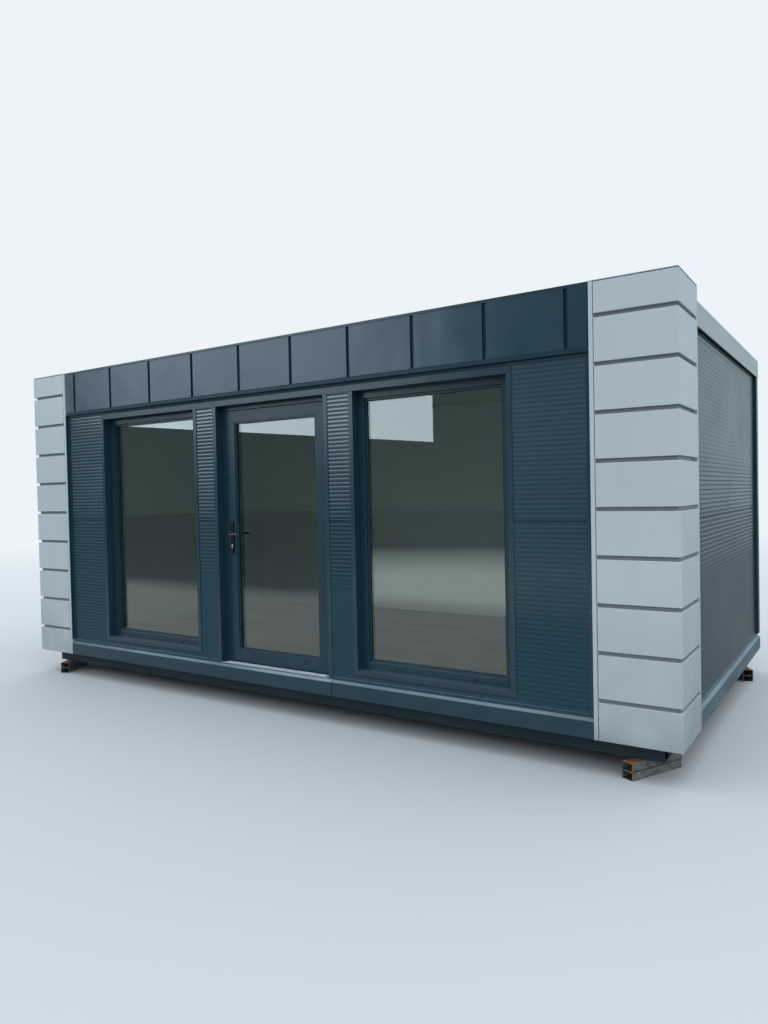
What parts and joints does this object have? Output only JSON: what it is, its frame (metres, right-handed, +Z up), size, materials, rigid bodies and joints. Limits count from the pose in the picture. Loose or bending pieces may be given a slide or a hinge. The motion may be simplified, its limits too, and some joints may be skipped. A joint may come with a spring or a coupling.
{
  "type": "container cabin",
  "caption": "Site cabin with a flat roof, ribbed steel panel walls, folded corner pilasters, tall fixed windows and a glazed door that swings inwards, set on short stacked steel tubes.",
  "frame": {"origin": "on the ground, at the middle of the cabin's outline", "axes": "+X along the glazed front, to the right of someone who looks at it; -Y out of the front; +Z up"},
  "size_m": [6.06, 3.23, 2.89],
  "materials": {
    "rusty_steel": "rusted",
    "base_paint": "satin",
    "panel_anthracite": "satin",
    "trim_anthracite": "satin",
    "cassette_grey": "satin",
    "lining_white": "matt",
    "floor_covering": "matt",
    "roof_sheet": "satin",
    "glazing": "clear",
    "threshold_metal": "ribbed",
    "fitting_black": "satin"
  },
  "bodies": {
    "cabin": {"support_tubes_lower": "rusty_steel", "support_tubes_upper": "rusty_steel", "base_rails_long": "base_paint", "base_crossmembers": "base_paint", "wall_plinth_long": "base_paint", "wall_plinth_sides": "base_paint", "floor_deck": "floor_covering", "skirt_front": "trim_anthracite", "skirt_sides": "trim_anthracite", "skirt_rear": "trim_anthracite", "front_wall_left_bay": "panel_anthracite", "front_wall_left_pier": "panel_anthracite", "front_wall_right_pier": "panel_anthracite", "front_wall_right_bay": "panel_anthracite", "front_wall_header": "panel_anthracite", "front_wall_sills": "panel_anthracite", "side_wall_left": "panel_anthracite", "side_wall_right": "panel_anthracite", "rear_wall": "panel_anthracite", "rear_corner_trims": "trim_anthracite", "lining_front": "lining_white", "lining_sides": "lining_white", "lining_rear": "lining_white", "ceiling": "lining_white", "roof_slab": "roof_sheet", "parapet_front": "roof_sheet", "parapet_returns": "roof_sheet", "roof_edge_sides": "cassette_grey", "roof_edge_rear": "cassette_grey", "fascia_carrier": "trim_anthracite", "fascia_cassettes": "trim_anthracite", "coping_front": "trim_anthracite", "coping_corners": "cassette_grey", "pilaster_carriers_front": "cassette_grey", "pilaster_carriers_side": "cassette_grey", "pilaster_left_cassettes": "cassette_grey", "pilaster_right_cassettes": "cassette_grey", "pilaster_closures": "trim_anthracite", "header_flashing": "trim_anthracite", "opening_trims": "trim_anthracite", "window_frame_left": "trim_anthracite", "window_frame_right": "trim_anthracite", "window_glass": "glazing", "door_frame": "trim_anthracite", "door_threshold": "threshold_metal", "hinge_frame_halves": "trim_anthracite"},
    "door": {"door_leaf": "trim_anthracite", "door_glass": "glazing", "door_plates": "fitting_black", "hinge_leaf_halves": "trim_anthracite"},
    "lever": {"door_lever": "fitting_black"}
  },
  "joints": [
    {"name": "door_swing", "type": "hinge", "parent": "cabin", "child": "door", "pos_m": [0.546, -1.431, 1.362], "axis": [0, 0, -1], "range_deg": [0, 105]},
    {"name": "lever_turn", "type": "hinge", "parent": "door", "child": "lever", "pos_m": [-0.46, -1.47, 1.381], "axis": [0, 1, 0], "range_deg": [0, 40], "stiffness_Nm_per_rad": 1.5, "springref_deg": -17.19}
  ]
}
